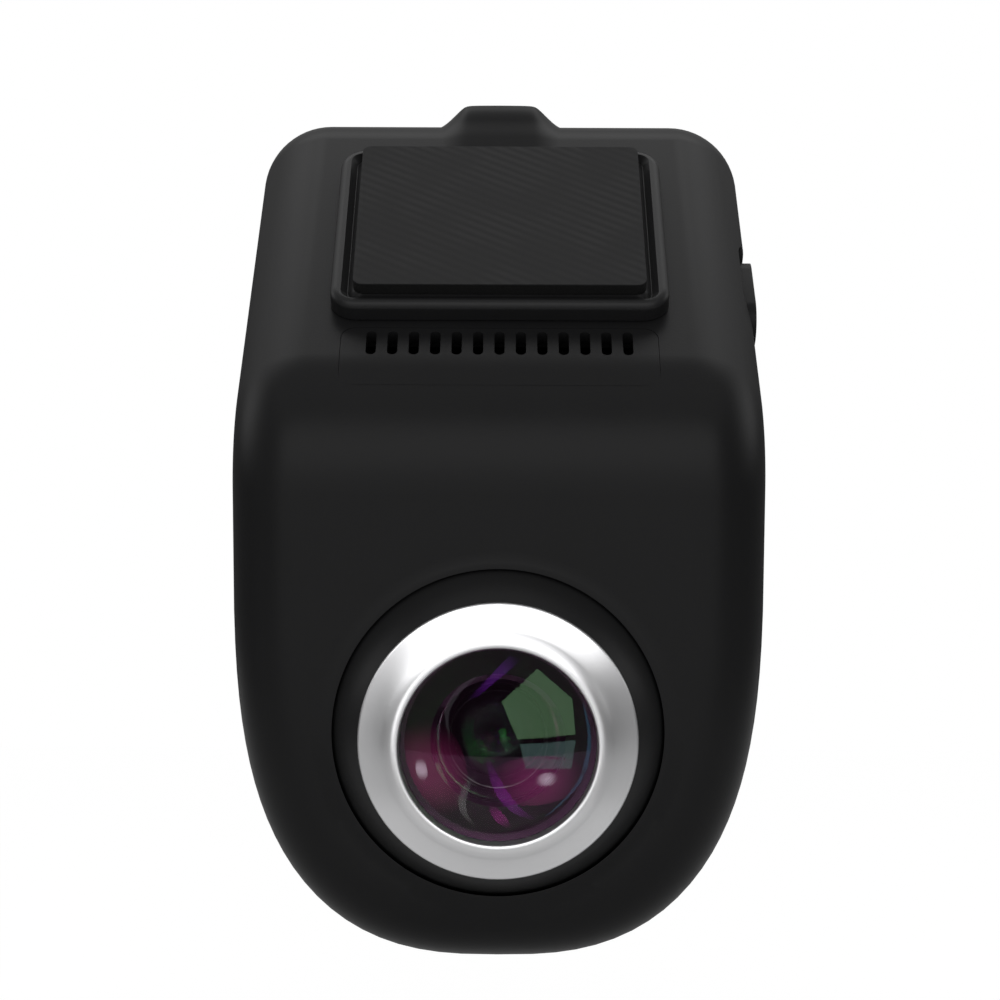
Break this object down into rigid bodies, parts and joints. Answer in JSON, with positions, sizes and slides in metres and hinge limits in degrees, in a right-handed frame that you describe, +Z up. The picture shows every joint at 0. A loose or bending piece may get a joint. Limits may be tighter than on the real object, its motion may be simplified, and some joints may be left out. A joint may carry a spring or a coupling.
{
  "type": "dash camera",
  "caption": "Screenless windscreen dash camera with a leaning stick-on mount that slides off, a tilting lens ball in a bright ring, cooling slots, a side button and a memory card.",
  "frame": {"origin": "centre of the outer face of the film on the adhesive pad, where the windscreen goes", "axes": "+X right as seen from the front, -Y the way the lens looks, +Z up; the pad's face leans back 38 degrees from the horizontal"},
  "size_m": [0.0504, 0.051, 0.0821],
  "materials": {
    "bracket_plastic": "satin moulded",
    "pad_foam": "closed foam",
    "film": "satin film with fine diagonal lines",
    "housing_plastic": "satin moulded with a fine grain",
    "vent_plastic": "satin moulded with a fine grain",
    "rail_plastic": "moulded",
    "screw_steel": "zinc plated",
    "black_screw": "black oxide",
    "cradle_plastic": "moulded",
    "bush_brass": "turned",
    "friction_rubber": "moulded",
    "ball_plastic": "satin moulded",
    "pin_steel": "ground",
    "bezel_metal": "satin chrome",
    "barrel_metal": "black anodised",
    "lens_glass": "coated",
    "inner_glass": "coated",
    "filter_glass": "coated",
    "sensor_package": "ceramic package with window",
    "board_green": "solder resist",
    "connector_plastic": "moulded",
    "ribbon_film": "polyimide",
    "chip_plastic": "moulded package",
    "thermal_silicone": "soft pad",
    "spreader_metal": "plain",
    "shield_metal": "tinned",
    "antenna_film": "copper on film",
    "coil_ferrite": "ferrite",
    "capacitor_sleeve": "shrink sleeve",
    "card_plastic": "moulded",
    "plunger_plastic": "moulded",
    "button_plastic": "satin moulded",
    "speaker_metal": "black",
    "microphone_metal": "can",
    "led_resin": "clear resin",
    "pipe_acrylic": "clear acrylic"
  },
  "bodies": {
    "mount": {"mount_bracket": "bracket_plastic", "adhesive_pad": "pad_foam", "pad_film": "film"},
    "camera": {"front_housing": "housing_plastic", "rear_housing": "housing_plastic", "vent_panel": "vent_plastic", "slide_rail": "rail_plastic", "rail_screws": "screw_steel", "housing_screws": "black_screw", "lens_cradle": "cradle_plastic", "trunnion_bushes": "bush_brass", "cradle_screws": "screw_steel", "friction_ring": "friction_rubber", "sensor_ribbon": "ribbon_film", "main_board": "board_green", "board_screws": "screw_steel", "board_connector": "connector_plastic", "processor": "chip_plastic", "thermal_pad": "thermal_silicone", "heat_spreader": "spreader_metal", "memory_chips": "chip_plastic", "radio_shield": "shield_metal", "radio_antenna": "antenna_film", "power_coils": "coil_ferrite", "supercapacitors": "capacitor_sleeve", "usb_inlet": "shield_metal", "card_socket": "shield_metal", "tact_switch": "shield_metal", "speaker": "speaker_metal", "microphone": "microphone_metal", "status_led": "led_resin", "light_pipe": "pipe_acrylic"},
    "lens_pod": {"lens_ball": "ball_plastic", "trunnion_pins": "pin_steel", "bezel_ring": "bezel_metal", "lens_barrel": "barrel_metal", "lens_retainer": "barrel_metal", "front_lens": "lens_glass", "second_lens": "inner_glass", "third_lens": "inner_glass", "rear_lens": "inner_glass", "lens_spacers": "barrel_metal", "lens_holder": "chip_plastic", "infrared_filter": "filter_glass", "image_sensor": "sensor_package", "sensor_board": "board_green", "sensor_screws": "screw_steel", "sensor_connector": "connector_plastic"},
    "button": {"switch_plunger": "plunger_plastic", "side_button": "button_plastic"},
    "card": {"memory_card": "card_plastic"}
  },
  "joints": [
    {"name": "mount_slide", "type": "slide", "parent": "mount", "child": "camera", "axis": [0, 0.788, 0.6157], "range_m": [0, 0.0225]},
    {"name": "lens_tilt", "type": "hinge", "parent": "camera", "child": "lens_pod", "pos_m": [0, -0.01025, -0.04775], "axis": [1, 0, 0], "range_deg": [-12, 12], "deforming": ["sensor_ribbon"]},
    {"name": "button_press", "type": "slide", "parent": "camera", "child": "button", "axis": [-1, 0, 0], "range_m": [0, 0.0005], "stiffness_N_per_m": 800, "springref_m": -0.0008},
    {"name": "card_slide", "type": "slide", "parent": "camera", "child": "card", "axis": [-1, 0, 0], "range_m": [0, 0.015]}
  ]
}
